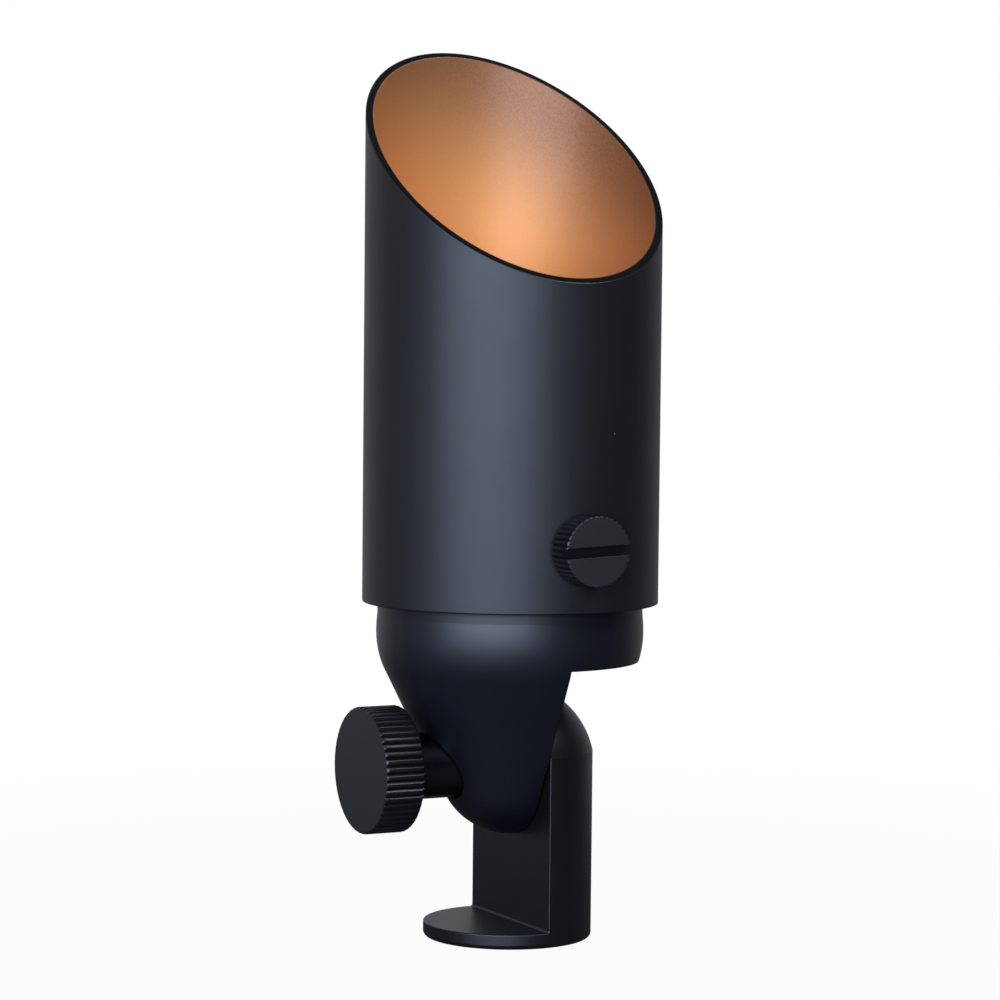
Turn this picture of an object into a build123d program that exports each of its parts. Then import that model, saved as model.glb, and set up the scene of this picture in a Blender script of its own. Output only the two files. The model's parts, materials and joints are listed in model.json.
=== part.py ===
from build123d import *
import math
import os

os.makedirs("parts", exist_ok=True)

# Landscape spotlight on a pivoting foot, sizes in millimetres.
# Origin at the centre of the foot's underside, Z up, knob towards -X,
# upright towards +X, shroud lock screw towards -Y, cable entry towards +Y.

# Clearances shared by mating pieces
RUN_FIT = 0.05
SIDE_GAP = 0.3
FACE_SLIP = 0.02

# Rounding that the coat leaves on cut edges
SOFT_EDGE = 0.3

# How far a cut runs past the face it opens, and how near an edge counts as at a level
OVERCUT = 1.0
PICK = 0.0001

# Knurls: where the crest starts and ends, as shares of a tooth
CREST_FROM = 0.30
CREST_TO = 0.70

# Foot bracket
BRACKET_R = 17.1
FOOT_T = 3.1
FOOT_EDGE = 1.0
FOOT_TOP_EDGE = 0.25
INNER_FILLET = 0.5
BRACKET_FACE_X = 0.6
DOME_R = 17.5
DOME_DROP = 1.1
PIVOT_Z = 35.5
BASE_THREAD_R = 5.0
BASE_THREAD_L = 14.0
BASE_THREAD_X = 8.4

# Turned housing, outside
FACE_GAP = 0.4
KNUCKLE_R = 14.45
CONE_DEG = 26.1
COLLAR_DROP = 1.3
SHOULDER_STEP = 1.75
LIP_RISE = 2.1
BULGE_RISE = 7.6
COLLAR_RISE = 11.6
COLLAR_TAPER = 0.22
BULGE_HALF = 3.8
BULGE_LAG = 0.42
NECK_LEAN_DEG = 95.71
FLOOR_T = 5.5

# Shroud
SHROUD_R = 30.0
SHROUD_WALL = 1.6
SHROUD_RISE = 13.8
CUT_RISE = 88.5
CUT_DEG = 38.75

# Spigot inside the shroud
SPIGOT_RELIEF = 0.8
SPIGOT_L = 23.8
SPIGOT_WALL = 4.1
ORING_CORD_R = 0.9
ORING_LOW = 3.4
ORING_STEP = 3.8
ORING_SLACK = 0.2
STOP_RIB_W = 1.2
STOP_RIB_T = 2.0

# Shroud lock screw
LOCK_RISE = 12.7
LOCK_HEAD_R = 7.05
LOCK_HEAD_T = 6.3
LOCK_TEETH = 36
LOCK_TOOTH = 0.4
LOCK_THREAD_R = 2.5
LOCK_SLOT_W = 2.0
LOCK_SLOT_DEEP = 1.7
LOCK_SLOT_DEG = 2.5
LOCK_EDGE = 0.45
LOCK_SEAL_R = 5.6
LOCK_SEAL_T = 0.8

# Tilt knob and its stud
KNOB_R = 12.7
KNOB_T = 8.4
KNOB_FACE_OUT = 33.2
KNOB_TEETH = 50
KNOB_TOOTH = 0.5
KNOB_EDGE = 0.55
SHANK_R = 6.4
SHANK_SIDE = 0.5
SHANK_END = 6.5
WASHER_T = 1.5
STUD_R = 4.0
STUD_IN_KNOB = 12.0
STUD_REACH = 12.0
STUD_TIP_ROOM = 1.2
BORE_SIDE = 0.35
FRICTION_R = 11.0
FRICTION_SET = 1.0

# Cable entry and wire way
WIRE_X = -9.5
WIRE_WAY_R = 4.5
WIRE_SUMP = 0.8
ENTRY_DROP = 7.0
ENTRY_BORE_R = 4.2
ENTRY_SEAT_Y = 17.6
GROMMET_FLANGE_R = 5.2
GROMMET_FLANGE_T = 2.0
GROMMET_NECK_L = 6.0
GROMMET_EDGE = 0.4
CABLE_R = 2.6
LEAD_R = 0.9
LEAD_APART = 2.6
LEAD_BEND = 1.6
LEAD_IN_SOCKET = 3.2

# Lamp socket
SOCKET_X = 12.5
SOCKET_Y = 24.0
SOCKET_H = 9.0
SOCKET_CORNER = 2.0
PIN_APART = 5.33
PIN_R = 0.775
PIN_L = 6.5
CONTACT_WALL = 0.85
CONTACT_FLOOR = 1.2
LEAD_RISE = 3.5
SCREW_R = 1.5
SCREW_APART = 17.0
SCREW_BITE = 4.0
SCREW_HEAD_R = 2.75
SCREW_HEAD_T = 2.0
SCREW_SINK = 2.6
SCREW_DRIVE_W = 0.7

# Lamp
LAMP_GAP = 0.3
LAMP_L = 44.2
LAMP_R = 25.0
LAMP_BASE_X = 13.0
LAMP_BASE_Y = 21.0
LAMP_BASE_H = 10.0
LAMP_BASE_CORNER = 3.25
PIN_ROOT = 5.0
CORE_R = 12.0
CORE_FLARE = 17.0
FIN_COUNT = 18
FIN_T = 1.5
FIN_INSET = 0.8
SINK_PLATE_T = 3.0
WELL_R = 20.0
WELL_DEEP = 9.5
BOARD_T = 1.2
BOARD_SIDE = 0.2
EMITTER_R = 5.0
EMITTER_T = 0.8
OPTIC_ROOM = 0.3
OPTIC_THROAT_R = 7.0
OPTIC_RIM_T = 1.6
BEZEL_T = 3.2
BEZEL_LIP = 1.5
BEZEL_LIP_T = 0.8

# Front glass
LEDGE_CLEAR = 1.5
LEDGE_T = 2.0
LEDGE_W = 2.8
GASKET_T = 1.0
GLASS_T = 3.0
GLASS_SIDE = 0.4
RING_GROOVE = 0.7
RING_T = 1.2
RING_W = 2.4
RING_MOUTH = 7.0
RING_SIDE = 0.05

# Levels and radii that follow from the sizes above
CONE = math.radians(CONE_DEG)
BORE_R = SHROUD_R - SHROUD_WALL
COLLAR_R = BORE_R - COLLAR_DROP
SHOULDER_R = COLLAR_R - SHOULDER_STEP
SHOULDER_Z = PIVOT_Z + (SHOULDER_R - KNUCKLE_R / math.cos(CONE)) / math.tan(CONE)
LIP_Z = SHOULDER_Z + LIP_RISE
COLLAR_Z = SHOULDER_Z + COLLAR_RISE
SHROUD_Z = SHOULDER_Z + SHROUD_RISE
CUP_Z = LIP_Z + FLOOR_T
SPIGOT_Z = SHROUD_Z + SPIGOT_RELIEF
SPIGOT_TOP = SHROUD_Z + SPIGOT_L
SPIGOT_R = BORE_R - SIDE_GAP
CUP_R = SPIGOT_R - SPIGOT_WALL
ORING_R = BORE_R - RUN_FIT
GROOVE_R = ORING_R - 2 * ORING_CORD_R
GROOVE_W = 2 * ORING_CORD_R + 2 * ORING_SLACK
LOCK_Z = SHROUD_Z + LOCK_RISE
HOUSING_FACE_X = BRACKET_FACE_X - FACE_GAP
COUNTERBORE_R = SHANK_R + SHANK_SIDE
COUNTERBORE_X = -(SHANK_END - WASHER_T)
PIVOT_BORE_R = STUD_R + BORE_SIDE
ENTRY_Z = LIP_Z - ENTRY_DROP
WIRE_FLOOR_Z = ENTRY_Z - ENTRY_BORE_R - WIRE_SUMP
SOCKET_TOP = CUP_Z + SOCKET_H
CONTACT_R = PIN_R + RUN_FIT + CONTACT_WALL
LAMP_Z = SOCKET_TOP + LAMP_GAP
LAMP_FRONT = LAMP_Z + LAMP_L
SINK_Z = LAMP_Z + LAMP_BASE_H
BEZEL_Z = LAMP_FRONT - BEZEL_T
WELL_Z = BEZEL_Z - WELL_DEEP
BOARD_TOP = WELL_Z + BOARD_T
LEDGE_Z = LAMP_FRONT + LEDGE_CLEAR
LEDGE_TOP = LEDGE_Z + LEDGE_T
GLASS_Z = LEDGE_TOP + GASKET_T
RING_Z = GLASS_Z + GLASS_T
GLASS_R = BORE_R - GLASS_SIDE
CUT_Z = SHROUD_Z + CUT_RISE


def turned(points):
    """Solid of revolution about Z from a closed outline of (radius, height)."""
    outline = Polyline(*[(r, 0, z) for r, z in points], close=True)
    return revolve(make_face(outline), axis=Axis.Z)


def ring(outer, inner, low, high):
    """Plain ring about Z."""
    return turned([(inner, low), (outer, low), (outer, high), (inner, high)])


def post(x, y, radius, low, high):
    """Upright round bar."""
    return Pos(x, y, (low + high) / 2) * Cylinder(radius, high - low)


def knurled(radius, depth, teeth, low, high, edge):
    """Straight knurled disc about Z with broken edges."""
    points = []
    step = 2 * math.pi / teeth
    for i in range(teeth):
        for part, r in ((0.0, radius - depth), (CREST_FROM, radius), (CREST_TO, radius)):
            a = (i + part) * step
            points.append((r * math.cos(a), r * math.sin(a), low))
    blank = extrude(make_face(Polyline(*points, close=True)), amount=high - low, dir=(0, 0, 1))
    form = turned([
        (0, low),
        (radius - edge, low),
        (radius, low + edge),
        (radius, high - edge),
        (radius - edge, high),
        (0, high),
    ])
    return blank & form


def lean(degrees):
    """Unit direction in the XZ plane, from the horizontal."""
    a = math.radians(degrees)
    return (math.cos(a), 0, math.sin(a))


def along_knob(shape):
    """Lay a piece built along +Z on the pivot axis, pointing to -X."""
    return Pos(0, 0, PIVOT_Z) * Rot(0, -90, 0) * shape


def along_lock(shape):
    """Lay a piece built along +Z on the lock screw axis, pointing to -Y."""
    return Pos(0, 0, LOCK_Z) * Rot(90, 0, 0) * shape


def along_entry(shape):
    """Lay a piece built along +Z on the cable entry axis, pointing to +Y."""
    return Pos(WIRE_X, 0, ENTRY_Z) * Rot(-90, 0, 0) * shape


def bracket():
    """Foot disc and half round upright cut from one turned bar."""
    dome_z = PIVOT_Z - DOME_DROP
    meet_z = dome_z + math.sqrt(DOME_R ** 2 - BRACKET_R ** 2)
    half = math.atan2(BRACKET_R, meet_z - dome_z) / 2
    mid = (DOME_R * math.sin(half), 0, dome_z + DOME_R * math.cos(half))
    k = FOOT_EDGE * (1 - math.sqrt(0.5))
    outline = [
        Line((0, 0, 0), (BRACKET_R - FOOT_EDGE, 0, 0)),
        ThreePointArc((BRACKET_R - FOOT_EDGE, 0, 0), (BRACKET_R - k, 0, k), (BRACKET_R, 0, FOOT_EDGE)),
        Line((BRACKET_R, 0, FOOT_EDGE), (BRACKET_R, 0, meet_z)),
        ThreePointArc((BRACKET_R, 0, meet_z), mid, (0, 0, dome_z + DOME_R)),
        Line((0, 0, dome_z + DOME_R), (0, 0, 0)),
    ]
    bar = revolve(make_face(outline), axis=Axis.Z)
    far = 2 * BRACKET_R
    top = PIVOT_Z + 2 * DOME_R
    c = INNER_FILLET * (1 - math.sqrt(0.5))
    side = [
        Line((-far, -far, -far), (far, -far, -far)),
        Line((far, -far, -far), (far, -far, top)),
        Line((far, -far, top), (BRACKET_FACE_X, -far, top)),
        Line((BRACKET_FACE_X, -far, top), (BRACKET_FACE_X, -far, FOOT_T + INNER_FILLET)),
        ThreePointArc(
            (BRACKET_FACE_X, -far, FOOT_T + INNER_FILLET),
            (BRACKET_FACE_X - c, -far, FOOT_T + c),
            (BRACKET_FACE_X - INNER_FILLET, -far, FOOT_T),
        ),
        Line((BRACKET_FACE_X - INNER_FILLET, -far, FOOT_T), (-far, -far, FOOT_T)),
        Line((-far, -far, FOOT_T), (-far, -far, -far)),
    ]
    form = extrude(make_face(side), amount=2 * far, dir=(0, 1, 0))
    body = bar & form
    arcs = body.edges().filter_by(GeomType.CIRCLE)
    rim = [e for e in arcs if abs(e.center().Z - FOOT_T) < PICK]
    body = fillet(rim, FOOT_TOP_EDGE)
    stud_end = STUD_REACH + STUD_TIP_ROOM
    body -= along_knob(post(0, 0, STUD_R, -stud_end, 0))
    body -= post(BASE_THREAD_X, 0, BASE_THREAD_R, -OVERCUT, BASE_THREAD_L)
    return body


def housing():
    """Ball and cone knuckle, collar and spigot cup turned in one piece."""
    ball = (KNUCKLE_R * math.cos(CONE), 0, PIVOT_Z - KNUCKLE_R * math.sin(CONE))
    swing = -(CONE + math.pi / 2) / 2
    low = (KNUCKLE_R * math.cos(swing), 0, PIVOT_Z + KNUCKLE_R * math.sin(swing))
    shoulder = (SHOULDER_R, 0, SHOULDER_Z)
    neck = (COLLAR_R - COLLAR_TAPER, 0, COLLAR_Z)
    flow = Spline(
        shoulder,
        (COLLAR_R - BULGE_LAG, 0, SHOULDER_Z + BULGE_HALF),
        (COLLAR_R, 0, SHOULDER_Z + BULGE_RISE),
        neck,
        tangents=(lean(90 - CONE_DEG), lean(NECK_LEAN_DEG)),
    )
    outline = [
        ThreePointArc((0, 0, PIVOT_Z - KNUCKLE_R), low, ball),
        Line(ball, shoulder),
        flow,
        Line(neck, (COLLAR_R - COLLAR_TAPER, 0, SPIGOT_Z)),
        Line((COLLAR_R - COLLAR_TAPER, 0, SPIGOT_Z), (SPIGOT_R, 0, SPIGOT_Z)),
        Line((SPIGOT_R, 0, SPIGOT_Z), (SPIGOT_R, 0, SPIGOT_TOP)),
        Line((SPIGOT_R, 0, SPIGOT_TOP), (CUP_R, 0, SPIGOT_TOP)),
        Line((CUP_R, 0, SPIGOT_TOP), (CUP_R, 0, CUP_Z)),
        Line((CUP_R, 0, CUP_Z), (0, 0, CUP_Z)),
        Line((0, 0, CUP_Z), (0, 0, PIVOT_Z - KNUCKLE_R)),
    ]
    body = revolve(make_face(outline), axis=Axis.Z)
    for z in oring_levels():
        body -= ring(SPIGOT_R + OVERCUT, GROOVE_R, z - GROOVE_W / 2, z + GROOVE_W / 2)
    wide = 2 * SHROUD_R
    body -= Pos(HOUSING_FACE_X + wide / 2, 0, LIP_Z - wide / 2) * Box(wide, wide, wide)
    body -= along_knob(post(0, 0, COUNTERBORE_R, -COUNTERBORE_X, wide))
    body -= along_knob(post(0, 0, PIVOT_BORE_R, -wide, wide))
    body -= along_knob(post(0, 0, FRICTION_R + RUN_FIT, -wide, FRICTION_SET - HOUSING_FACE_X))
    body -= along_entry(post(0, 0, ENTRY_BORE_R, 0, wide))
    body -= along_entry(post(0, 0, GROMMET_FLANGE_R + SIDE_GAP, ENTRY_SEAT_Y, wide))
    body -= post(WIRE_X, 0, WIRE_WAY_R, WIRE_FLOOR_Z, CUP_Z + OVERCUT)
    for y in screw_rows():
        body -= post(0, y, SCREW_R, CUP_Z - SCREW_BITE, CUP_Z + OVERCUT)
    return body


def oring_levels():
    """Heights of the two ring grooves."""
    return (SHROUD_Z + ORING_LOW, SHROUD_Z + ORING_LOW + ORING_STEP)


def oring(z):
    """Round section sealing ring about Z."""
    centre = ORING_R - ORING_CORD_R
    return Pos(0, 0, z) * Torus(centre, ORING_CORD_R)


def friction_washer():
    """Fibre washer between the housing's flat and the upright's flat."""
    low = -(BRACKET_FACE_X - FACE_SLIP)
    high = FRICTION_SET - HOUSING_FACE_X
    return along_knob(ring(FRICTION_R, PIVOT_BORE_R, low, high))


def screw_rows():
    """Where the socket's two screws stand along Y."""
    return (-SCREW_APART / 2, SCREW_APART / 2)


def pin_rows():
    """Where the lamp's two pins stand along Y."""
    return (-PIN_APART / 2, PIN_APART / 2)


def lead_rows():
    """Each lead as its X place in the entry and its Y place in the wire way."""
    return ((WIRE_X - LEAD_APART / 2, pin_rows()[0]), (WIRE_X + LEAD_APART / 2, pin_rows()[1]))


def socket():
    """Ceramic two pin lamp socket."""
    body = Pos(0, 0, CUP_Z + SOCKET_H / 2) * Box(SOCKET_X, SOCKET_Y, SOCKET_H)
    body = fillet(body.edges().filter_by(Axis.Z), SOCKET_CORNER)
    for y in pin_rows():
        body -= post(0, y, CONTACT_R, CUP_Z + CONTACT_FLOOR, SOCKET_TOP + OVERCUT)
    for y in screw_rows():
        body -= post(0, y, SCREW_R + SIDE_GAP, CUP_Z - OVERCUT, SOCKET_TOP + OVERCUT)
        body -= post(0, y, SCREW_HEAD_R + SIDE_GAP, SOCKET_TOP - SCREW_SINK, SOCKET_TOP + OVERCUT)
    for x, y in lead_rows():
        hole = Rot(0, 90, 0) * Cylinder(LEAD_R + RUN_FIT, SOCKET_X)
        body -= Pos(-SOCKET_X + LEAD_IN_SOCKET, y, CUP_Z + LEAD_RISE) * hole
    return body


def contact(y):
    """Sprung sleeve that grips one lamp pin."""
    return Pos(0, y, 0) * ring(CONTACT_R, PIN_R + RUN_FIT, CUP_Z + CONTACT_FLOOR, SOCKET_TOP)


def socket_screw(y):
    """Slotted screw that holds the socket to the cup floor."""
    seat = SOCKET_TOP - SCREW_SINK
    body = post(0, y, SCREW_R, CUP_Z - SCREW_BITE, seat)
    body += post(0, y, SCREW_HEAD_R, seat, seat + SCREW_HEAD_T)
    body -= Pos(0, y, seat + SCREW_HEAD_T) * Box(4 * SCREW_HEAD_R, SCREW_DRIVE_W, SCREW_HEAD_T)
    return body


def lead(x, y):
    """Insulated lead from the cable entry up to the socket."""
    start = ENTRY_SEAT_Y - GROMMET_NECK_L - LEAD_R
    top = CUP_Z + LEAD_RISE
    path = FilletPolyline(
        (x, start, ENTRY_Z),
        (x, y, ENTRY_Z),
        (x, y, top),
        (LEAD_IN_SOCKET - SOCKET_X / 2, y, top),
        radius=LEAD_BEND,
    )
    face = Plane(origin=path @ 0, z_dir=path % 0) * Circle(LEAD_R)
    return sweep(face, path=path)


def grommet():
    """Flanged rubber bush for the supply cable."""
    low = ENTRY_SEAT_Y - GROMMET_NECK_L
    high = ENTRY_SEAT_Y + GROMMET_FLANGE_T
    return along_entry(turned([
        (CABLE_R, low),
        (ENTRY_BORE_R, low),
        (ENTRY_BORE_R, ENTRY_SEAT_Y),
        (GROMMET_FLANGE_R, ENTRY_SEAT_Y),
        (GROMMET_FLANGE_R, high - GROMMET_EDGE),
        (GROMMET_FLANGE_R - GROMMET_EDGE, high),
        (CABLE_R, high),
    ]))


def lamp_base():
    """Moulded foot of the lamp."""
    body = Pos(0, 0, LAMP_Z + LAMP_BASE_H / 2) * Box(LAMP_BASE_X, LAMP_BASE_Y, LAMP_BASE_H)
    body = fillet(body.edges().filter_by(Axis.Z), LAMP_BASE_CORNER)
    for y in pin_rows():
        body -= post(0, y, PIN_R, LAMP_Z - OVERCUT, LAMP_Z + PIN_ROOT)
    return body


def lamp_pin(y):
    """Round lamp pin, from the lamp's foot down into its contact."""
    return post(0, y, PIN_R, LAMP_Z - PIN_L, LAMP_Z + PIN_ROOT)


def heat_sink():
    """Finned cooling body of the lamp with a well for the board and optic."""
    plate_z = BEZEL_Z - SINK_PLATE_T
    rim_r = LAMP_R - FIN_INSET
    body = turned([
        (0, SINK_Z),
        (CORE_R, SINK_Z),
        (CORE_FLARE, WELL_Z),
        (rim_r, plate_z),
        (rim_r, BEZEL_Z),
        (0, BEZEL_Z),
    ])
    fin = [
        (CORE_R / 2, SINK_Z),
        (CORE_R + FIN_INSET, SINK_Z),
        (rim_r - FIN_INSET, WELL_Z),
        (rim_r, plate_z),
        (CORE_R / 2, plate_z),
    ]
    plate = make_face(Polyline(*[(r, -FIN_T / 2, z) for r, z in fin], close=True))
    blade = extrude(plate, amount=FIN_T, dir=(0, 1, 0))
    for i in range(FIN_COUNT):
        body += Rot(0, 0, 360 * i / FIN_COUNT) * blade
    body -= post(0, 0, WELL_R, WELL_Z, BEZEL_Z + OVERCUT)
    return body


def led_board():
    """Round board at the bottom of the lamp's well."""
    return post(0, 0, WELL_R - BOARD_SIDE, WELL_Z, BOARD_TOP)


def emitter():
    """Flat round light emitter on the board."""
    return post(0, 0, EMITTER_R, BOARD_TOP, BOARD_TOP + EMITTER_T)


def optic():
    """Clear collimator over the emitter, held at its rim by the bezel."""
    throat = BOARD_TOP + EMITTER_T + OPTIC_ROOM
    seat = BEZEL_Z
    top = LAMP_FRONT - BEZEL_LIP_T
    rim = LAMP_R - BEZEL_LIP
    return turned([
        (0, throat),
        (OPTIC_THROAT_R, throat),
        (WELL_R - OPTIC_RIM_T, seat),
        (rim, seat),
        (rim, top),
        (0, top),
    ])


def bezel():
    """Front ring of the lamp."""
    rim = LAMP_R - BEZEL_LIP
    return turned([
        (rim, BEZEL_Z),
        (LAMP_R, BEZEL_Z),
        (LAMP_R, LAMP_FRONT),
        (rim - BEZEL_LIP, LAMP_FRONT),
        (rim - BEZEL_LIP, LAMP_FRONT - BEZEL_LIP_T),
        (rim, LAMP_FRONT - BEZEL_LIP_T),
    ])


def shroud():
    """Tube with a slanted mouth, an inner stop rib, a glass ledge and a ring groove."""
    tall = CUT_Z + 2 * SHROUD_R
    stop = SPIGOT_TOP + FACE_SLIP
    rib = BORE_R - STOP_RIB_W
    ledge = BORE_R - LEDGE_W
    body = turned([
        (BORE_R, SHROUD_Z),
        (SHROUD_R, SHROUD_Z),
        (SHROUD_R, tall),
        (BORE_R, tall),
        (BORE_R, RING_Z + RING_T),
        (BORE_R + RING_GROOVE, RING_Z + RING_T),
        (BORE_R + RING_GROOVE, RING_Z),
        (BORE_R, RING_Z),
        (BORE_R, LEDGE_TOP),
        (ledge, LEDGE_TOP),
        (ledge, LEDGE_Z),
        (BORE_R, LEDGE_Z),
        (BORE_R, stop + STOP_RIB_T),
        (rib, stop + STOP_RIB_T),
        (rib, stop),
        (BORE_R, stop),
    ])
    wide = 2 * SHROUD_R
    slope = math.tan(math.radians(CUT_DEG))
    above = Polyline(
        (-wide, -wide, CUT_Z - slope * wide),
        (-wide, wide, CUT_Z + slope * wide),
        (-wide, wide, CUT_Z + 3 * wide),
        (-wide, -wide, CUT_Z + 3 * wide),
        close=True,
    )
    body -= extrude(make_face(above), amount=2 * wide, dir=(1, 0, 0))
    ends = body.faces().filter_by(GeomType.PLANE).sort_by(Axis.Z)
    body = fillet(ends[-1].edges() + ends[0].edges(), SOFT_EDGE)
    body -= along_lock(post(0, 0, LOCK_THREAD_R, BORE_R - SHROUD_WALL, SHROUD_R + OVERCUT))
    return body


def gasket():
    """Flat silicone ring under the front glass."""
    return ring(GLASS_R, BORE_R - LEDGE_W, LEDGE_TOP, GLASS_Z)


def glass():
    """Round front glass."""
    return post(0, 0, GLASS_R, GLASS_Z, RING_Z)


def snap_ring():
    """Open spring ring in the shroud's groove over the glass."""
    outer = BORE_R + RING_GROOVE - RING_SIDE
    body = ring(outer, outer - RING_W, RING_Z, RING_Z + RING_T)
    return body - Pos(0, outer, RING_Z) * Box(RING_MOUTH, 4 * RING_W, 4 * RING_T)


def lock_seal():
    """Rubber seal under the lock screw's head, hollowed to the shroud."""
    outer = SHROUD_R + LOCK_SEAL_T
    body = along_lock(ring(LOCK_SEAL_R, LOCK_THREAD_R, SHROUD_R - LOCK_SEAL_T, outer))
    return body - post(0, 0, SHROUD_R, LOCK_Z - LOCK_HEAD_R, LOCK_Z + LOCK_HEAD_R)


def lock_screw():
    """Knurled and slotted thumb screw through the shroud's wall."""
    seat = SHROUD_R + LOCK_SEAL_T
    face = seat + LOCK_HEAD_T
    body = knurled(LOCK_HEAD_R, LOCK_TOOTH, LOCK_TEETH, seat, face, LOCK_EDGE)
    body += post(0, 0, LOCK_THREAD_R - RUN_FIT, SPIGOT_R + RUN_FIT, seat)
    slot = Box(4 * LOCK_HEAD_R, LOCK_SLOT_W, 2 * LOCK_SLOT_DEEP)
    body -= Pos(0, 0, face) * Rot(0, 0, LOCK_SLOT_DEG) * slot
    return along_lock(body)


def knob():
    """Knurled knob with its shank."""
    rear = KNOB_FACE_OUT - KNOB_T
    body = knurled(KNOB_R, KNOB_TOOTH, KNOB_TEETH, rear, KNOB_FACE_OUT, KNOB_EDGE)
    body += post(0, 0, SHANK_R, SHANK_END, rear)
    body -= post(0, 0, STUD_R - RUN_FIT, SHANK_END - OVERCUT, SHANK_END + STUD_IN_KNOB)
    return along_knob(body)


def stud():
    """Threaded stud fixed in the knob, shown without its thread form."""
    return along_knob(post(0, 0, STUD_R - RUN_FIT, -STUD_REACH, SHANK_END + STUD_IN_KNOB))


def knob_washer():
    """Washer between the knob's shank and the counterbore floor."""
    return along_knob(ring(SHANK_R, PIVOT_BORE_R, SHANK_END - WASHER_T, SHANK_END))


pieces = {
    "bracket": bracket(),
    "lamp_housing": housing(),
    "shroud_oring_lower": oring(oring_levels()[0]),
    "shroud_oring_upper": oring(oring_levels()[1]),
    "friction_washer": friction_washer(),
    "cable_grommet": grommet(),
    "lead_left": lead(*lead_rows()[0]),
    "lead_right": lead(*lead_rows()[1]),
    "lamp_socket": socket(),
    "socket_contact_left": contact(pin_rows()[0]),
    "socket_contact_right": contact(pin_rows()[1]),
    "socket_screw_left": socket_screw(screw_rows()[0]),
    "socket_screw_right": socket_screw(screw_rows()[1]),
    "lamp_base": lamp_base(),
    "lamp_pin_left": lamp_pin(pin_rows()[0]),
    "lamp_pin_right": lamp_pin(pin_rows()[1]),
    "lamp_heat_sink": heat_sink(),
    "led_board": led_board(),
    "led_emitter": emitter(),
    "lamp_optic": optic(),
    "lamp_bezel": bezel(),
    "front_glass": glass(),
    "glass_gasket": gasket(),
    "shroud": shroud(),
    "glass_snap_ring": snap_ring(),
    "lock_screw_seal": lock_seal(),
    "lock_screw": lock_screw(),
    "knob_washer": knob_washer(),
    "tilt_knob": knob(),
    "knob_stud": stud(),
}

for name, shape in pieces.items():
    export_step(shape, "parts/" + name + ".step")
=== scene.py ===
"""Finishes and studio for a tilting landscape spotlight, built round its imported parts."""

import json
import math

import bpy
import numpy as np
from mathutils import Matrix, Vector


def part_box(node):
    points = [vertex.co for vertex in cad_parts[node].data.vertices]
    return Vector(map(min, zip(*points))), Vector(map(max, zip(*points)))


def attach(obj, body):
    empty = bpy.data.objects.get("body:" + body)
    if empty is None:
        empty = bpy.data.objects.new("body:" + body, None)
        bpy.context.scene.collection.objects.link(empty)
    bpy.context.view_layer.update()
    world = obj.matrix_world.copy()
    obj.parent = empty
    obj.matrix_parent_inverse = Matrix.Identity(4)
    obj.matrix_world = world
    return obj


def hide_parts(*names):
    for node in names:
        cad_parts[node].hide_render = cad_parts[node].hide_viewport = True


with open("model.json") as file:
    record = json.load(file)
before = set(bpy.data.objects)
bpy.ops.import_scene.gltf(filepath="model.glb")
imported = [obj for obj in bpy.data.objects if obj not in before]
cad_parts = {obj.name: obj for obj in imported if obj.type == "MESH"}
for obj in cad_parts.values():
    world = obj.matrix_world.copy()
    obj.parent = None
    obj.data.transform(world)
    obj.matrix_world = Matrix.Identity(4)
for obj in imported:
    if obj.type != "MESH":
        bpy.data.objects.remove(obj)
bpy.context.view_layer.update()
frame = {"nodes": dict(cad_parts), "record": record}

MM = 0.001
WHITE = (1.0, 1.0, 1.0, 1.0)

# Camera, in millimetres, radians and pixels of the square photograph
CAMERA_AT = Vector((-314.394, -607.237, 130.054))
CAMERA_YAW = 0.474478
CAMERA_PITCH = -0.060279
CAMERA_ROLL = 0.009772
FOCAL_PIXELS = 3384.32
FRAME_PIXELS = 1000
SENSOR_MM = 36.0
CLIP_START = 0.01

# Studio lights, in metres, degrees and watts
KEY_SWING = 16.5
KEY_DISTANCE = 0.80
KEY_HEIGHT = 0.22
KEY_AIM = (0.0, 0.0, 0.10)
KEY_SIZE = (1.08, 0.34)
KEY_POWER = 12.7
KEY_COLOUR = (0.84, 0.92, 1.0)
FILL_AT = (0.39, -0.54, 0.82)
FILL_AIM = (0.0, 0.0, 0.15)
FILL_SIZE = (0.35, 0.35)
FILL_POWER = 4.0
FILL_COLOUR = (1.0, 0.97, 0.95)

# Floor, in metres: its white to the camera, and its dim reflection near the object and far off
FLOOR_HALF = 3.0
FLOOR_DROP = 0.05 * MM
FLOOR_PALE = 0.96
FLOOR_SHADE = (0.06, 0.30)
FLOOR_GREY = (0.09, 0.09, 0.09, 1.0)
FLOOR_DARK = 0.02
FLOOR_REACH = (0.10, 0.40)

# Dim room that the coat reflects: levels, and where they change along the camera's right and forward
ROOM_LEFT = 0.20
ROOM_RIGHT = 0.03
ROOM_BACK = 0.42
ROOM_SIDE = 0.7
ROOM_DEPTH = (0.25, 0.95)

# Knob and lock screw, in millimetres and degrees
KNOB_R = 12.7
KNOB_THICK = 8.4
KNOB_RIBS = 50
KNOB_RIB_DEEP = 0.5
KNOB_EDGE = 0.55
SHANK_R = 6.4
SHANK_FILLET = 0.4
SHANK_EDGE = 0.2
LOCK_R = 7.05
LOCK_THICK = 6.3
LOCK_RIBS = 36
LOCK_RIB_DEEP = 0.4
LOCK_EDGE = 0.45
LOCK_SHANK_R = 2.45
LOCK_TIP = 0.3
SLOT_HALF = 1.0
SLOT_DEEP = 1.7
SLOT_DEG = 2.5
SLOT_EDGE = 0.12
SLOT_SINK = 0.05

# Grooves between the ribs, as shares of a rib, and how finely the ribs and round edges are laid out
GROOVE_SHARE = 0.32
GROOVE_SOFT = 0.08
RIB_STEPS = 12
EDGE_STEPS = 5
FLAT_MARGIN = 0.08
SMOOTH_DEG = 32.0

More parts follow.
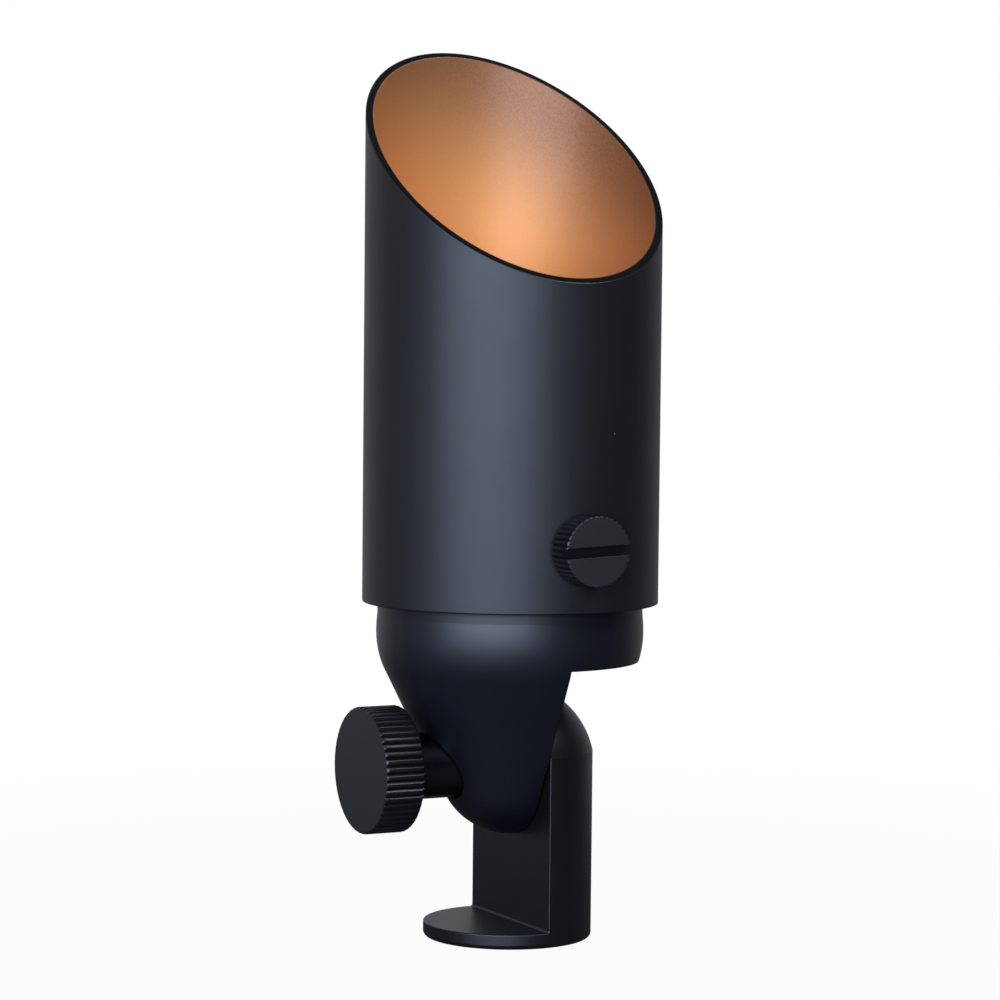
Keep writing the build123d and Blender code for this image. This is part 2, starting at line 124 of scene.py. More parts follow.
# Lens of the lamp, in millimetres
OPTIC_THROAT_R = 7.0
OPTIC_SEAT_R = 18.4
OPTIC_RIM_T = 2.4
LENSLET_PITCH = 4.2
LENSLET_DEEP = 0.45
LENSLET_FIELD_R = 21.6
OPTIC_STEPS = 72
OPTIC_COLUMNS = 288

# Textures: noise detail, dust cells to a metre, lathe rings and the height of every fine grain
PEEL_DETAIL = 2.0
PATCH_DETAIL = 3.0
DUST_CELLS = 260.0
DUST_EDGE = (0.05, 0.02)
DUST_RARE = (0.965, 0.97)
RING_DETAIL = 4.0
RING_COARSE = 0.7
GRAIN_HIGH = 0.02 * MM

# Black coat: colours, roughness spans, and where its plainer faces start
BLACK = (0.0008, 0.0008, 0.0011, 1.0)
BLACK_WORN = (0.0016, 0.0016, 0.0020, 1.0)
BLUE_BLACK = (0.0005, 0.0006, 0.0034, 1.0)
BLUE_WORN = (0.0010, 0.0011, 0.0050, 1.0)
DULL_BLACK = (0.0050, 0.0049, 0.0052, 1.0)
DULL_WORN = (0.0072, 0.0070, 0.0074, 1.0)
DUST = (0.40, 0.41, 0.44, 1.0)
SHEEN_SPAN = (0.25, 0.75)
COAT_ROUGH = (0.455, 0.485)
SHROUD_ROUGH = (0.505, 0.535)
DULL_ROUGH = (0.52, 0.58)
RIB_ROUGH = (0.33, 0.37)
FOOT_ROUGH = (0.40, 0.43)
CUT_ROUGH = (0.18, 0.22)
FOOT_DISC_TOP = 3.2 * MM
FOOT_FLAT_X = 0.1 * MM
FOOT_TOP = 52.4 * MM
KNOB_FACE_X = -33.15 * MM
LOCK_FACE_Y = -37.05 * MM
FACE_BLEND = 0.1 * MM
CUT_DEG = 38.75
CUT_RISE = 88.5 * MM
CUT_DROP = (0.05 * MM, 0.01 * MM)
COAT_GRAIN = 2600.0
COAT_PATCH = 60.0
COAT_BUMP = 0.10
COAT_SPECULAR = 0.56
COAT_TINT = (0.75, 0.81, 1.0, 1.0)

# Copper paint in the shroud: colours with painted light deep in the bore and painted shade towards the rim,
# the direction in which that painted shade grows, and its lacquer
COPPER_SHADED_RIM = (0.18, 0.072, 0.032, 1.0)
COPPER_LIT_DEEP = (0.97, 0.445, 0.155, 1.0)
COPPER_FLAKE = (0.62, 0.30, 0.14, 1.0)
COPPER_SHADE_WAY = (0.66, -0.31, 1.0)
COPPER_SHADE_SPAN = (126 * MM, 176 * MM)
COPPER_ROUGH = (0.60, 0.68)
COPPER_METAL = 0.7
COPPER_LACQUER = 0.38
LACQUER_ROUGH = 0.40
FLAKE_CELLS = 5200.0
FLAKE_SHARE = 0.15
BORE_EDGE = (28.55 * MM, 28.42 * MM)

# Other finishes: how far the broad sheen or the lathe rings swing their colour and roughness
PLAIN_GRAIN = 1800.0
PLAIN_PATCH = 140.0
PLAIN_SWING = 0.12
PLAIN_SPAN = (0.2, 0.8)
PLAIN_ROUGH = (0.9, 1.15)
PLAIN_BUMP = 0.08
RING_PITCH = 9000.0
RING_DARK = 0.8
RING_SPAN = (0.3, 0.7)
RING_ROUGH = (0.8, 1.25)
RING_BUMP = 0.15
CLEAR_GRAIN = 900.0
CLEAR_PATCH = 110.0
CLEAR_SPAN = (0.35, 0.75)
CLEAR_ROUGH = (0.015, 0.06)

# Colour and roughness of grained pieces and turned metals, colour and refraction of clear ones
PLAIN_PIECES = {
    "black_rubber": ((0.012, 0.012, 0.012), 0.75),
    "silicone": ((0.55, 0.53, 0.50), 0.6),
    "fibre": ((0.22, 0.07, 0.04), 0.8),
    "lead_black": ((0.015, 0.015, 0.015), 0.5),
    "lead_white": ((0.75, 0.75, 0.72), 0.5),
    "ceramic": ((0.80, 0.77, 0.70), 0.35),
    "lamp_moulding": ((0.78, 0.78, 0.76), 0.45),
    "board_white": ((0.82, 0.82, 0.80), 0.4),
    "emitter_yellow": ((0.82, 0.60, 0.10), 0.4),
}
TURNED_PIECES = {
    "bright_brass": ((0.72, 0.50, 0.20), 0.30),
    "stainless": ((0.58, 0.57, 0.55), 0.35),
    "plated_pin": ((0.66, 0.66, 0.66), 0.25),
    "lamp_metal": ((0.58, 0.59, 0.60), 0.45),
}
CLEAR_PIECES = {
    "optic_clear": ((0.97, 0.98, 0.98), 1.49),
    "clear_glass": ((0.96, 0.985, 0.975), 1.50),
}


def new_tree(name):
    """An empty material and its node tree."""
    material = bpy.data.materials.new(name)
    material.use_nodes = True
    material.node_tree.nodes.clear()
    return material, material.node_tree


def input_of(made, key):
    """A node's input by its name, with _ for a space, or by its place, as i0."""
    if key[0] == "i" and key[1:].isdigit():
        return made.inputs[int(key[1:])]
    return made.inputs[key.replace("_", " ")]


def put(tree, kind, settings=None, **inputs):
    """Adds a node, sets its own settings, and fills its inputs with values or links."""
    made = tree.nodes.new(kind)
    for key, value in (settings or {}).items():
        setattr(made, key, value)
    for key, value in inputs.items():
        socket = input_of(made, key)
        if isinstance(value, bpy.types.NodeSocket):
            tree.links.new(value, socket)
        else:
            socket.default_value = value
    return made


def sums(tree, operation, a, b=0.0, c=0.0):
    """One step of arithmetic on values or links."""
    return put(tree, "ShaderNodeMath", {"operation": operation}, i0=a, i1=b, i2=c).outputs[0]


def smooth(tree, value, low, high, start=0.0, end=1.0):
    """A soft step from start to end as value goes from low to high."""
    kind = {"interpolation_type": "SMOOTHSTEP"}
    return put(tree, "ShaderNodeMapRange", kind, i0=value, i1=low, i2=high, i3=start, i4=end).outputs[0]


def mix_colour(tree, share, a, b):
    """Blend of two colours by a share."""
    made = put(tree, "ShaderNodeMix", {"data_type": "RGBA"}, i0=share, i6=a, i7=b)
    return made.outputs[2]


def mix_value(tree, share, a, b):
    """Blend of two values by a share."""
    return put(tree, "ShaderNodeMix", i0=share, i2=a, i3=b).outputs[0]


def along(tree, place, way):
    """Distance of a place along a direction."""
    dot = {"operation": "DOT_PRODUCT"}
    return put(tree, "ShaderNodeVectorMath", dot, i0=place, i1=tuple(way)).outputs["Value"]


def distance(tree, place):
    """Distance of a place from the origin."""
    return put(tree, "ShaderNodeVectorMath", {"operation": "LENGTH"}, i0=place).outputs["Value"]


def grained(tree, height, strength):
    """Normal of a surface with a fine grain."""
    return put(tree, "ShaderNodeBump", Strength=strength, Distance=GRAIN_HIGH, Height=height).outputs[0]


def group_of(name, inputs, outputs):
    """An empty node group with named sockets, and its two end nodes."""
    tree = bpy.data.node_groups.new(name, "ShaderNodeTree")
    for label, kind in inputs:
        tree.interface.new_socket(label, in_out="INPUT", socket_type=kind)
    for label in outputs:
        tree.interface.new_socket(label, in_out="OUTPUT", socket_type="NodeSocketFloat")
    return tree, tree.nodes.new("NodeGroupInput"), tree.nodes.new("NodeGroupOutput")


def coat_group():
    """Powder coat: fine orange peel height, broad uneven sheen and sparse dust."""
    inputs = (("Vector", "NodeSocketVector"), ("Grain", "NodeSocketFloat"), ("Patch", "NodeSocketFloat"))
    tree, given, out = group_of("coat_texture", inputs, ("Height", "Sheen", "Dust"))
    place = given.outputs["Vector"]
    peel = put(tree, "ShaderNodeTexNoise", i0=place, Scale=given.outputs["Grain"], Detail=PEEL_DETAIL)
    broad = put(tree, "ShaderNodeTexNoise", i0=place, Scale=given.outputs["Patch"], Detail=PATCH_DETAIL)
    cells = put(tree, "ShaderNodeTexVoronoi", i0=place, Scale=DUST_CELLS, Randomness=1.0)
    near = smooth(tree, cells.outputs["Distance"], *DUST_EDGE)
    pick = put(tree, "ShaderNodeSeparateColor", i0=cells.outputs["Color"])
    rare = smooth(tree, pick.outputs[0], *DUST_RARE)
    tree.links.new(peel.outputs[0], out.inputs["Height"])
    tree.links.new(broad.outputs[0], out.inputs["Sheen"])
    tree.links.new(sums(tree, "MULTIPLY", near, rare), out.inputs["Dust"])
    return tree


def turned_group():
    """Fine rings left by a lathe tool: uneven stripes by distance from the Z axis."""
    inputs = (("Vector", "NodeSocketVector"), ("Pitch", "NodeSocketFloat"))
    tree, given, out = group_of("turned_rings", inputs, ("Rings",))
    axes = put(tree, "ShaderNodeSeparateXYZ", i0=given.outputs["Vector"])
    square = sums(tree, "MULTIPLY_ADD", axes.outputs[0], axes.outputs[0],
                  sums(tree, "MULTIPLY", axes.outputs[1], axes.outputs[1]))
    radius = sums(tree, "MULTIPLY", sums(tree, "SQRT", square), given.outputs["Pitch"])
    level = sums(tree, "MULTIPLY", axes.outputs[2], given.outputs["Pitch"])
    line = put(tree, "ShaderNodeCombineXYZ", i0=radius, i2=level)
    grain = {"Scale": 1.0, "Detail": RING_DETAIL, "Roughness": RING_COARSE}
    rings = put(tree, "ShaderNodeTexNoise", i0=line.outputs[0], **grain)
    tree.links.new(rings.outputs[0], out.inputs["Rings"])
    return tree


COAT = coat_group()
TURNED = turned_group()


def object_place(tree):
    """Object coordinates, in metres."""
    return put(tree, "ShaderNodeTexCoord").outputs["Object"]


def coat_nodes(tree, place, grain, patch):
    """The shared coat texture placed in a material."""
    return put(tree, "ShaderNodeGroup", {"node_tree": COAT}, Vector=place, Grain=grain, Patch=patch)


def sheen_rough(tree, coat, span):
    """Roughness that follows the coat's broad sheen over a span."""
    return smooth(tree, coat.outputs["Sheen"], *SHEEN_SPAN, *span)


def finish_tree(tree, shader):
    """Joins a shader to the material's output."""
    out = tree.nodes.new("ShaderNodeOutputMaterial")
    tree.links.new(shader.outputs[0], out.inputs[0])


def coat_colour(tree, coat, dark, light):
    """Black of the coat, a little lighter in patches, with sparse dust."""
    base = mix_colour(tree, coat.outputs["Sheen"], dark, light)
    return mix_colour(tree, coat.outputs["Dust"], base, DUST)


def coat_shader(tree, coat, base, rough):
    """Shader of the coat with its fine orange peel."""
    normal = grained(tree, coat.outputs["Height"], COAT_BUMP)
    shader = put(tree, "ShaderNodeBsdfPrincipled", Base_Color=base, Roughness=rough, Normal=normal)
    shader.inputs["Specular IOR Level"].default_value = COAT_SPECULAR
    shader.inputs["Specular Tint"].default_value = COAT_TINT
    return shader


def foot_mask(tree, place):
    """One on the foot: its disc, and its upright past the flat and under the housing's lip."""
    axes = put(tree, "ShaderNodeSeparateXYZ", i0=place)
    disc = smooth(tree, axes.outputs[2], FOOT_DISC_TOP + FACE_BLEND, FOOT_DISC_TOP)
    past = smooth(tree, axes.outputs[0], FOOT_FLAT_X - FACE_BLEND, FOOT_FLAT_X)
    under = smooth(tree, axes.outputs[2], FOOT_TOP + FACE_BLEND, FOOT_TOP)
    return sums(tree, "MAXIMUM", disc, sums(tree, "MULTIPLY", past, under))


def black_coat(name):
    """Satin powder coat: a blue black on the housing, a smoother and plainer black on the foot."""
    material, tree = new_tree(name)
    place = object_place(tree)
    foot = foot_mask(tree, place)
    coat = coat_nodes(tree, place, COAT_GRAIN, COAT_PATCH)
    rough_head = sheen_rough(tree, coat, COAT_ROUGH)
    rough_foot = sheen_rough(tree, coat, FOOT_ROUGH)
    dark = mix_colour(tree, foot, BLUE_BLACK, BLACK)
    light = mix_colour(tree, foot, BLUE_WORN, BLACK_WORN)
    base = coat_colour(tree, coat, dark, light)
    finish_tree(tree, coat_shader(tree, coat, base, mix_value(tree, foot, rough_head, rough_foot)))
    return material


def faced_coat(name, axis, level):
    """Black coat that is duller on the flat end face, past a level along X or Y."""
    material, tree = new_tree(name)
    place = object_place(tree)
    reach = put(tree, "ShaderNodeSeparateXYZ", i0=place).outputs[axis]
    face = smooth(tree, reach, level + FACE_BLEND, level)
    coat = coat_nodes(tree, place, COAT_GRAIN, COAT_PATCH)
    dull = mix_colour(tree, coat.outputs["Sheen"], DULL_BLACK, DULL_WORN)
    rough_side = sheen_rough(tree, coat, RIB_ROUGH)
    rough_face = sheen_rough(tree, coat, DULL_ROUGH)
    base = mix_colour(tree, face, coat_colour(tree, coat, BLACK, BLACK_WORN), dull)
    finish_tree(tree, coat_shader(tree, coat, base, mix_value(tree, face, rough_side, rough_face)))
    return material


def cut_mask(tree, place):
    """One on the shroud's slanted end face, by height over the plane of its cut."""
    lean = math.radians(CUT_DEG)
    level = (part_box("shroud")[0][2] + CUT_RISE) * math.cos(lean)
    upward = (0.0, -math.sin(lean), math.cos(lean))
    return smooth(tree, along(tree, place, upward), level - CUT_DROP[0], level - CUT_DROP[1])


def shroud_coat(name):
    """Black coat outside, smoother on the cut face, and satin copper paint on the bore, with painted light
    deep in it and painted shade towards the rim and one side.
    """
    material, tree = new_tree(name)
    place = object_place(tree)
    axes = put(tree, "ShaderNodeSeparateXYZ", i0=place)
    across = put(tree, "ShaderNodeCombineXYZ", i0=axes.outputs[0], i1=axes.outputs[1])
    inside = smooth(tree, distance(tree, across.outputs[0]), *BORE_EDGE)
    coat = coat_nodes(tree, place, COAT_GRAIN, COAT_PATCH)
    flake = put(tree, "ShaderNodeTexVoronoi", i0=place, Scale=FLAKE_CELLS)
    spark = put(tree, "ShaderNodeSeparateColor", i0=flake.outputs["Color"])
    # Painted light and shade: the copper is lighter deep in the bore and darker towards the rim, more so on
    # one side
    rim_shade = smooth(tree, along(tree, place, COPPER_SHADE_WAY), *COPPER_SHADE_SPAN)
    shaded_copper = mix_colour(tree, rim_shade, COPPER_LIT_DEEP, COPPER_SHADED_RIM)
    copper = mix_colour(tree, sums(tree, "MULTIPLY", spark.outputs[0], FLAKE_SHARE), shaded_copper, COPPER_FLAKE)
    base = mix_colour(tree, inside, coat_colour(tree, coat, BLACK, BLACK_WORN), copper)
    rough_side = sheen_rough(tree, coat, SHROUD_ROUGH)
    rough_cut = sheen_rough(tree, coat, CUT_ROUGH)
    rough_out = mix_value(tree, cut_mask(tree, place), rough_side, rough_cut)
    rough_in = smooth(tree, spark.outputs[1], 0.0, 1.0, *COPPER_ROUGH)
    shader = coat_shader(tree, coat, base, mix_value(tree, inside, rough_out, rough_in))
    tree.links.new(sums(tree, "MULTIPLY", inside, COPPER_METAL), shader.inputs["Metallic"])
    tree.links.new(sums(tree, "MULTIPLY", inside, COPPER_LACQUER), shader.inputs["Coat Weight"])
    shader.inputs["Coat Roughness"].default_value = LACQUER_ROUGH
    finish_tree(tree, shader)
    return material


def plain_finish(name, colour, rough):
    """A lightly grained finish whose colour and roughness vary a little."""
    material, tree = new_tree(name)
    coat = coat_nodes(tree, object_place(tree), PLAIN_GRAIN, PLAIN_PATCH)
    dark = tuple(c * (1 - PLAIN_SWING) for c in colour) + (1.0,)
    light = tuple(min(1.0, c * (1 + PLAIN_SWING)) for c in colour) + (1.0,)
    base = mix_colour(tree, coat.outputs["Sheen"], dark, light)
    span = [min(1.0, rough * share) for share in PLAIN_ROUGH]
    rough = smooth(tree, coat.outputs["Sheen"], *PLAIN_SPAN, *span)
    normal = grained(tree, coat.outputs["Height"], PLAIN_BUMP)
    finish_tree(tree, put(tree, "ShaderNodeBsdfPrincipled", Base_Color=base, Roughness=rough, Normal=normal))
    return material


def turned_metal(name, colour, rough):
    """Bare metal with fine tool rings about Z in its colour, roughness and height."""
    material, tree = new_tree(name)
    place = object_place(tree)
    rings = put(tree, "ShaderNodeGroup", {"node_tree": TURNED}, Vector=place, Pitch=RING_PITCH)
    mark = rings.outputs["Rings"]
    base = mix_colour(tree, mark, tuple(c * RING_DARK for c in colour) + (1.0,), colour + (1.0,))
    rough = smooth(tree, mark, *RING_SPAN, *(rough * share for share in RING_ROUGH))
    normal = grained(tree, mark, RING_BUMP)
    shader = put(tree, "ShaderNodeBsdfPrincipled", Base_Color=base, Roughness=rough, Normal=normal)
    shader.inputs["Metallic"].default_value = 1.0
    finish_tree(tree, shader)
    return material


def clear_finish(name, colour, ior):
    """Clear glass or moulded lens, with a faint film of dust in its roughness."""
    material, tree = new_tree(name)
    coat = coat_nodes(tree, object_place(tree), CLEAR_GRAIN, CLEAR_PATCH)
    rough = smooth(tree, coat.outputs["Sheen"], *CLEAR_SPAN, *CLEAR_ROUGH)
    shader = put(tree, "ShaderNodeBsdfPrincipled", Base_Color=colour + (1.0,), Roughness=rough, IOR=ior)
    shader.inputs["Transmission Weight"].default_value = 1.0
    finish_tree(tree, shader)
    return material


FINISHES = {
    "black_coat": black_coat("black_coat"),
    "shroud_coat": shroud_coat("shroud_coat"),
    "knob_black": faced_coat("knob_black", 0, KNOB_FACE_X),
    "screw_black": faced_coat("screw_black", 1, LOCK_FACE_Y),
}
for make, pieces in (
    (plain_finish, PLAIN_PIECES),
    (turned_metal, TURNED_PIECES),
    (clear_finish, CLEAR_PIECES),
):
    FINISHES.update({name: make(name, *look) for name, look in pieces.items()})

for part in frame["record"]["subparts"]:
    shape = frame["nodes"][part["node"]]
    shape.data.materials.clear()
    shape.data.materials.append(FINISHES[part["material_slot"]])


def grid_quads(rows, columns, first):
    """Quads between neighbouring rows of a grid, going round to the first column."""
    row = first + np.arange(rows - 1)[:, None] * columns
    column = np.arange(columns)[None, :]
    low, side = row + column, row + (column + 1) % columns
    quads = np.stack([low, side, side + columns, low + columns], axis=-1)
    return quads.reshape(-1, 4).tolist()


def add_piece(name, points, faces, body, slot, node):
    """Makes a mesh piece from points in metres, shades it and sets it on its body."""
    mesh = bpy.data.meshes.new(name)
    mesh.from_pydata(points.tolist(), [], faces)
    mesh.validate()
    mesh.shade_smooth()
    mesh.set_sharp_from_angle(angle=math.radians(SMOOTH_DEG))
    mesh.materials.append(FINISHES[slot])
    piece = bpy.data.objects.new(name, mesh)
    bpy.context.scene.collection.objects.link(piece)
    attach(piece, body)
    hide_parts(node)


def rib_groove(angles, ribs):
    """Depth share of the grooves round a ribbed edge.

    A V from 1 at its root to 0 at GROOVE_SHARE of a rib to each side, its shoulders rounded
    by taking the root of the squares of the V and of GROOVE_SOFT; flat crests between.
    """
    turn = (angles * ribs / (2 * math.pi)) % 1.0
    away = np.minimum(turn, 1.0 - turn)
    vee = np.clip(1.0 - away / GROOVE_SHARE, 0.0, None)
    soft = np.hypot(vee, GROOVE_SOFT) - GROOVE_SOFT
    return soft / (math.hypot(1.0, GROOVE_SOFT) - GROOVE_SOFT)


def edge_round(radius, level, edge, start, end):
    """Rows of radius and height on an arc of radius edge about a centre, between two angles in degrees."""
    a = np.radians(np.linspace(start, end, EDGE_STEPS + 1))
    return np.stack([radius + edge * np.cos(a), level + edge * np.sin(a)], axis=-1).tolist()


def capped(grid, first, last):
    """Points and faces of a grid closed round its columns, with a point at each end of its rows."""
    count, columns = grid.shape[:2]
    points = np.concatenate([[first, last], grid.reshape(-1, 3)])
    turn = np.arange(columns)
    following = (turn + 1) % columns
    end = 2 + (count - 1) * columns
    faces = grid_quads(count, columns, 2)
    faces += np.stack([np.zeros_like(turn), 2 + following, 2 + turn], axis=-1).tolist()
    faces += np.stack([np.ones_like(turn), end + turn, end + following], axis=-1).tolist()
    return points, faces


def turned_shell(rows, ribs, deep):
    """A turned profile carried round Z and cut by the grooves between ribs.

    A row gives radius and height, from the low end to the high end. A point is at the smaller of its
    row's radius and the ribbed rim, which is the greatest radius less the groove share times deep.
    """
    profile = np.array(rows)
    angles = np.linspace(0.0, 2 * math.pi, ribs * RIB_STEPS, endpoint=False)
    rim = profile[:, 0].max() - deep * rib_groove(angles, ribs)
    radius = np.minimum(profile[:, 0:1], rim[None, :])
    level = np.repeat(profile[:, 1:2], len(angles), axis=1)
    grid = np.stack([radius * np.cos(angles), radius * np.sin(angles), level], axis=-1)
    return capped(grid, (0.0, 0.0, rows[0][1]), (0.0, 0.0, rows[-1][1]))


def ribbed_knob():
    """Knob about X: hollow shank, fillet, ribbed rim with rounded edges, bare flat face."""
    low, high = (np.array(c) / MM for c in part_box("tilt_knob"))
    stud = np.array(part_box("knob_stud")) / MM
    face, end = -low[0], -high[0]
    hole = (stud[1][2] - stud[0][2]) / 2
    rear = face - KNOB_THICK
    corner = KNOB_R - KNOB_EDGE
    rows = [(hole, -stud[0][0]), (hole, end + SHANK_EDGE), (hole + SHANK_EDGE, end)]
    rows += edge_round(SHANK_R - SHANK_EDGE, end + SHANK_EDGE, SHANK_EDGE, -90, 0)
    rows += edge_round(SHANK_R + SHANK_FILLET, rear - SHANK_FILLET, SHANK_FILLET, 180, 90)
    rows += [(corner - FLAT_MARGIN, rear)]
    rows += edge_round(corner, rear + KNOB_EDGE, KNOB_EDGE, -90, 0)
    rows += edge_round(corner, face - KNOB_EDGE, KNOB_EDGE, 0, 90)
    rows += [(corner - FLAT_MARGIN, face), (corner / 2, face)]
    points, faces = turned_shell(rows, KNOB_RIBS, KNOB_RIB_DEEP)
    centre = (high[2] + low[2]) / 2
    laid = np.stack([-points[:, 2], points[:, 1], centre + points[:, 0]], axis=-1)
    add_piece("knob_ribbed", laid * MM, faces, "knob", "knob_black", "tilt_knob")


def half_head(floor, face):
    """Half of the lock screw's head on one side of its slot, with rounded edges.

    A row gives the rim's radius and a height. A point is at the smaller of that radius and the ribbed
    rim, and at least half a slot, plus the rounding of the slot's edge at that height, from its middle.
    The last row lies a margin further in, so the flat face starts past the rounding.
    """
    rows = [(LOCK_R, floor)] + edge_round(LOCK_R - LOCK_EDGE, face - LOCK_EDGE, LOCK_EDGE, 0, 90)
    rows = np.array(rows + [(LOCK_R - LOCK_EDGE - FLAT_MARGIN, face)])
    start = math.asin(SLOT_HALF / LOCK_R)
    angles = np.linspace(start, math.pi - start, LOCK_RIBS * RIB_STEPS // 2)
    rim = LOCK_R - LOCK_RIB_DEEP * rib_groove(angles + math.radians(SLOT_DEG), LOCK_RIBS)
    radius = np.minimum(rows[:, 0:1], rim[None, :])
    above = np.clip(rows[:, 1:2] - face + SLOT_EDGE, 0.0, SLOT_EDGE)
    wall = SLOT_HALF + SLOT_EDGE - np.sqrt(SLOT_EDGE ** 2 - above ** 2)
    wall[-1] += FLAT_MARGIN
    across = np.maximum(radius * np.sin(angles), wall)
    level = np.repeat(rows[:, 1:2], len(angles), axis=1)
    grid = np.stack([radius * np.cos(angles), across, level], axis=-1)
    return capped(grid, (0.0, LOCK_R / 2, floor), (0.0, LOCK_R / 2, face))


def lock_head():
    """Lock screw about Y: shank and ribbed disc up to the slot's floor, and a half head on each side."""
    low, high = (np.array(c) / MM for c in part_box("lock_screw"))
    face, end = -low[1], -high[1]
    seat, floor = face - LOCK_THICK, face - SLOT_DEEP
    corner = LOCK_R - LOCK_EDGE
    rows = [(LOCK_SHANK_R - LOCK_TIP, end), (LOCK_SHANK_R, end + LOCK_TIP), (LOCK_SHANK_R, seat)]
    rows += [(corner - FLAT_MARGIN, seat)]
    rows += edge_round(corner, seat + LOCK_EDGE, LOCK_EDGE, -90, 0)
    rows += [(LOCK_R, floor), (corner, floor)]
    points, faces = turned_shell(rows, LOCK_RIBS, LOCK_RIB_DEEP)
    half, half_faces = half_head(floor - SLOT_SINK, face)
    x, y, z = half.T
    for swing in (math.radians(SLOT_DEG), math.radians(SLOT_DEG) + math.pi):
        c, s = math.cos(swing), math.sin(swing)
        faces += [[i + len(points) for i in corners] for corners in half_faces]
        points = np.concatenate([points, np.stack([x * c - y * s, x * s + y * c, z], axis=-1)])
    centre = (high[2] + low[2]) / 2
    laid = np.stack([points[:, 0], -points[:, 2], centre + points[:, 1]], axis=-1)
    add_piece("lock_screw_slotted", laid * MM, faces, "lock_screw", "screw_black", "lock_screw")


def lenslet_height(x, y):
    """Height share of a field of small round lenses packed in a hexagon pattern.

    The distance to the nearest lens centre comes from two square grids set half a step apart; the height
    is 1 minus the square of that distance over the corner distance, and fades out at the field's edge.
    """
    step = np.array([LENSLET_PITCH, LENSLET_PITCH * math.sqrt(3)])
    place = np.stack([x, y], axis=-1)
    first = place - np.round(place / step) * step
    second = place - (np.floor(place / step) + 0.5) * step
    near = np.minimum((first ** 2).sum(-1), (second ** 2).sum(-1))
    corner = LENSLET_PITCH ** 2 / 3
    fade = np.clip((LENSLET_FIELD_R - np.hypot(x, y)) / LENSLET_DEEP, 0.0, 1.0)
    return 1.0 - fade * np.clip(near / corner, 0.0, 1.0)


def lamp_lens():
    """Lamp lens about Z: flat throat, cone, seat, rim, and a front face of small lenses."""
    low, high = (np.array(c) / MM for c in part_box("lamp_optic"))
    rim = (high[0] - low[0]) / 2
    throat, top = low[2], high[2]
    seat = top - OPTIC_RIM_T
    rows = [(OPTIC_THROAT_R / 2, throat), (OPTIC_THROAT_R, throat), (OPTIC_SEAT_R, seat - FLAT_MARGIN)]
    rows += [(OPTIC_SEAT_R, seat), (rim, seat), (rim, top - FLAT_MARGIN), (rim - FLAT_MARGIN, top)]
    rows += [(r, top) for r in np.linspace(LENSLET_FIELD_R, LENSLET_PITCH / OPTIC_STEPS, OPTIC_STEPS)]
    profile = np.array(rows)
    angles = np.linspace(0.0, 2 * math.pi, OPTIC_COLUMNS, endpoint=False)
    x, y = profile[:, 0:1] * np.cos(angles), profile[:, 0:1] * np.sin(angles)
    front = (np.arange(len(rows)) >= len(rows) - OPTIC_STEPS)[:, None]
    level = profile[:, 1:2] - front * LENSLET_DEEP * (1.0 - lenslet_height(x, y))
    grid = np.stack([x, y, level], axis=-1)
    points, faces = capped(grid, (0.0, 0.0, throat), (0.0, 0.0, top))
    add_piece("lamp_lens", points * MM, faces, "head", "optic_clear", "lamp_optic")


ribbed_knob()
lock_head()
lamp_lens()


def seen_rays(tree, path):
    """One for rays from the camera and through glass."""
    return sums(tree, "MAXIMUM", path.outputs["Is Camera Ray"], path.outputs["Is Transmission Ray"])


def room_level(tree, way):
    """Level of the dim room in a direction: lighter on the camera's left and behind the object."""
    right, _, forward = camera_axes()
    dim = smooth(tree, along(tree, way, right), -ROOM_SIDE, ROOM_SIDE, ROOM_LEFT, ROOM_RIGHT)
    back = smooth(tree, along(tree, way, forward), *ROOM_DEPTH, 0.0, ROOM_BACK)
    return sums(tree, "ADD", dim, back)


def make_floor():
    """Floor that is white to the camera, a shade less near the object, and dim to glossy rays."""
    mesh = bpy.data.meshes.new("floor")
    h, z = FLOOR_HALF, -FLOOR_DROP
    mesh.from_pydata([(-h, -h, z), (h, -h, z), (h, h, z), (-h, h, z)], [], [(0, 1, 2, 3)])
    floor = bpy.data.objects.new("floor", mesh)
    bpy.context.scene.collection.objects.link(floor)
    material, tree = new_tree("pale_floor")
    place = object_place(tree)
    far = distance(tree, place)
    white = smooth(tree, far, *FLOOR_SHADE, FLOOR_PALE, 1.0)
    way = put(tree, "ShaderNodeVectorMath", {"operation": "NORMALIZE"}, i0=place).outputs[0]
    dim = mix_value(tree, smooth(tree, far, *FLOOR_REACH), FLOOR_DARK, room_level(tree, way))
    path = put(tree, "ShaderNodeLightPath")
    shown = sums(tree, "MULTIPLY", seen_rays(tree, path), white)
    share = sums(tree, "MAXIMUM", shown, sums(tree, "MULTIPLY", path.outputs["Is Glossy Ray"], dim))
    cloth = put(tree, "ShaderNodeBsdfDiffuse", Color=FLOOR_GREY)
    glow = put(tree, "ShaderNodeEmission", Color=WHITE, Strength=1.0)
    blend = put(tree, "ShaderNodeMixShader", i0=share, i1=cloth.outputs[0], i2=glow.outputs[0])
    finish_tree(tree, blend)
    mesh.materials.append(material)


def camera_axes():
    """Right, up and forward directions of the camera."""
    forward = Vector((
        math.sin(CAMERA_YAW) * math.cos(CAMERA_PITCH),
        math.cos(CAMERA_YAW) * math.cos(CAMERA_PITCH),
        math.sin(CAMERA_PITCH),
    ))
    level = Vector((math.cos(CAMERA_YAW), -math.sin(CAMERA_YAW), 0.0))
    upright = level.cross(forward)
    right = math.cos(CAMERA_ROLL) * level + math.sin(CAMERA_ROLL) * upright
    up = math.cos(CAMERA_ROLL) * upright - math.sin(CAMERA_ROLL) * level
    return right, up, forward


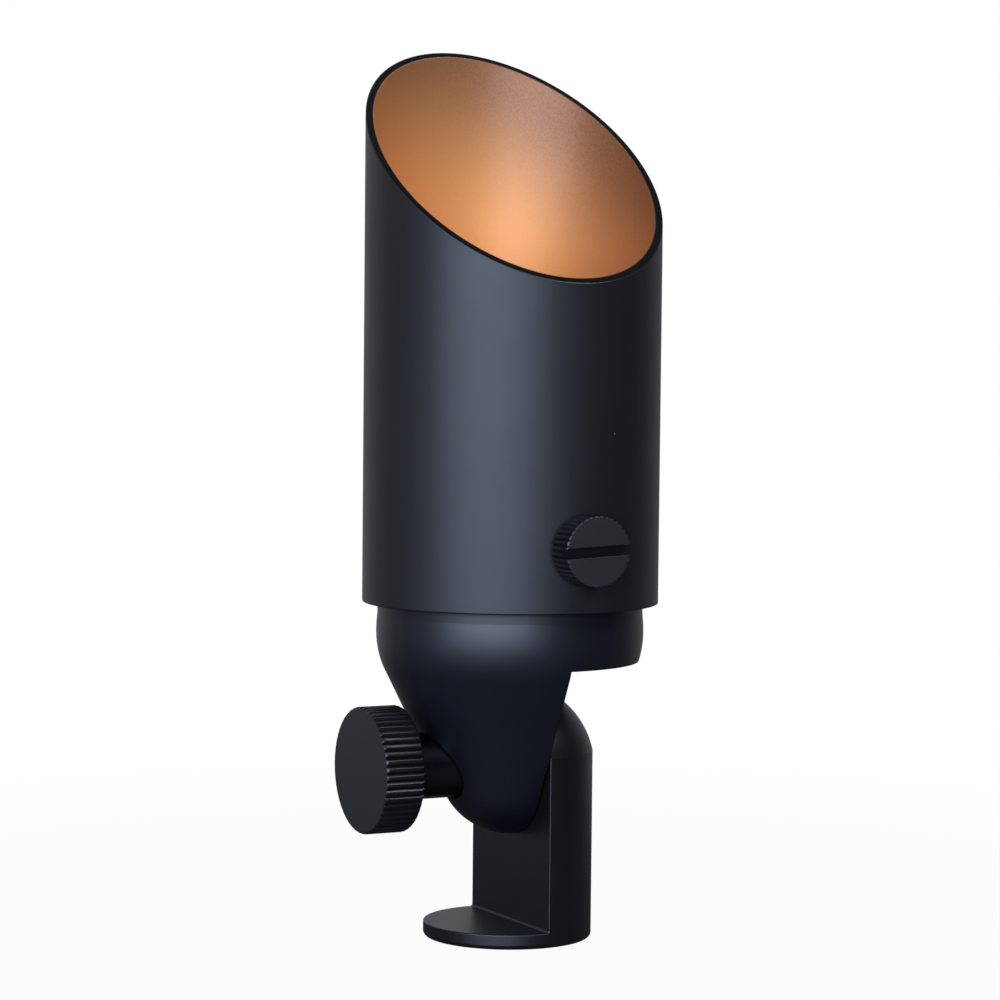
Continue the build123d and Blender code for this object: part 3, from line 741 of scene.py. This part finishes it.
def make_camera():
    """Camera at the photograph's place and lens."""
    right, up, forward = camera_axes()
    data = bpy.data.cameras.new("camera")
    data.sensor_width = SENSOR_MM
    data.lens = FOCAL_PIXELS * SENSOR_MM / FRAME_PIXELS
    data.clip_start = CLIP_START
    camera = bpy.data.objects.new("camera", data)
    bpy.context.scene.collection.objects.link(camera)
    turn = Matrix((right, up, -forward)).transposed()
    camera.matrix_world = Matrix.Translation(CAMERA_AT * MM) @ turn.to_4x4()
    bpy.context.scene.camera = camera


def soft_box(name, at, aim, size, power, colour):
    """Flat soft light at a place, turned to face a point."""
    data = bpy.data.lights.new(name, "AREA")
    data.shape = "RECTANGLE"
    data.size, data.size_y = size
    data.energy = power
    data.color = colour
    lamp = bpy.data.objects.new(name, data)
    lamp.location = at
    lamp.rotation_mode = "QUATERNION"
    lamp.rotation_quaternion = (Vector(aim) - Vector(at)).to_track_quat("-Z", "Y")
    bpy.context.scene.collection.objects.link(lamp)


def make_lights():
    """Wide soft box in front, a little to the camera's left, and a weak one high on the right."""
    swing = math.radians(KEY_SWING) + CAMERA_YAW
    at = (-KEY_DISTANCE * math.sin(swing), -KEY_DISTANCE * math.cos(swing), KEY_HEIGHT)
    soft_box("key", at, KEY_AIM, KEY_SIZE, KEY_POWER, KEY_COLOUR)
    soft_box("fill", FILL_AT, FILL_AIM, FILL_SIZE, FILL_POWER, FILL_COLOUR)


def make_room():
    """World that is white to the camera and through glass, and to the object a dim room."""
    world = bpy.data.worlds.new("room")
    world.use_nodes = True
    tree = world.node_tree
    tree.nodes.clear()
    way = put(tree, "ShaderNodeTexCoord").outputs["Generated"]
    seen = seen_rays(tree, put(tree, "ShaderNodeLightPath"))
    level = mix_value(tree, seen, room_level(tree, way), 1.0)
    sky = put(tree, "ShaderNodeBackground", Color=WHITE, Strength=level)
    out = tree.nodes.new("ShaderNodeOutputWorld")
    tree.links.new(sky.outputs[0], out.inputs[0])
    bpy.context.scene.world = world


make_floor()
make_camera()
make_lights()
make_room()
bpy.context.scene.view_settings.view_transform = "Standard"
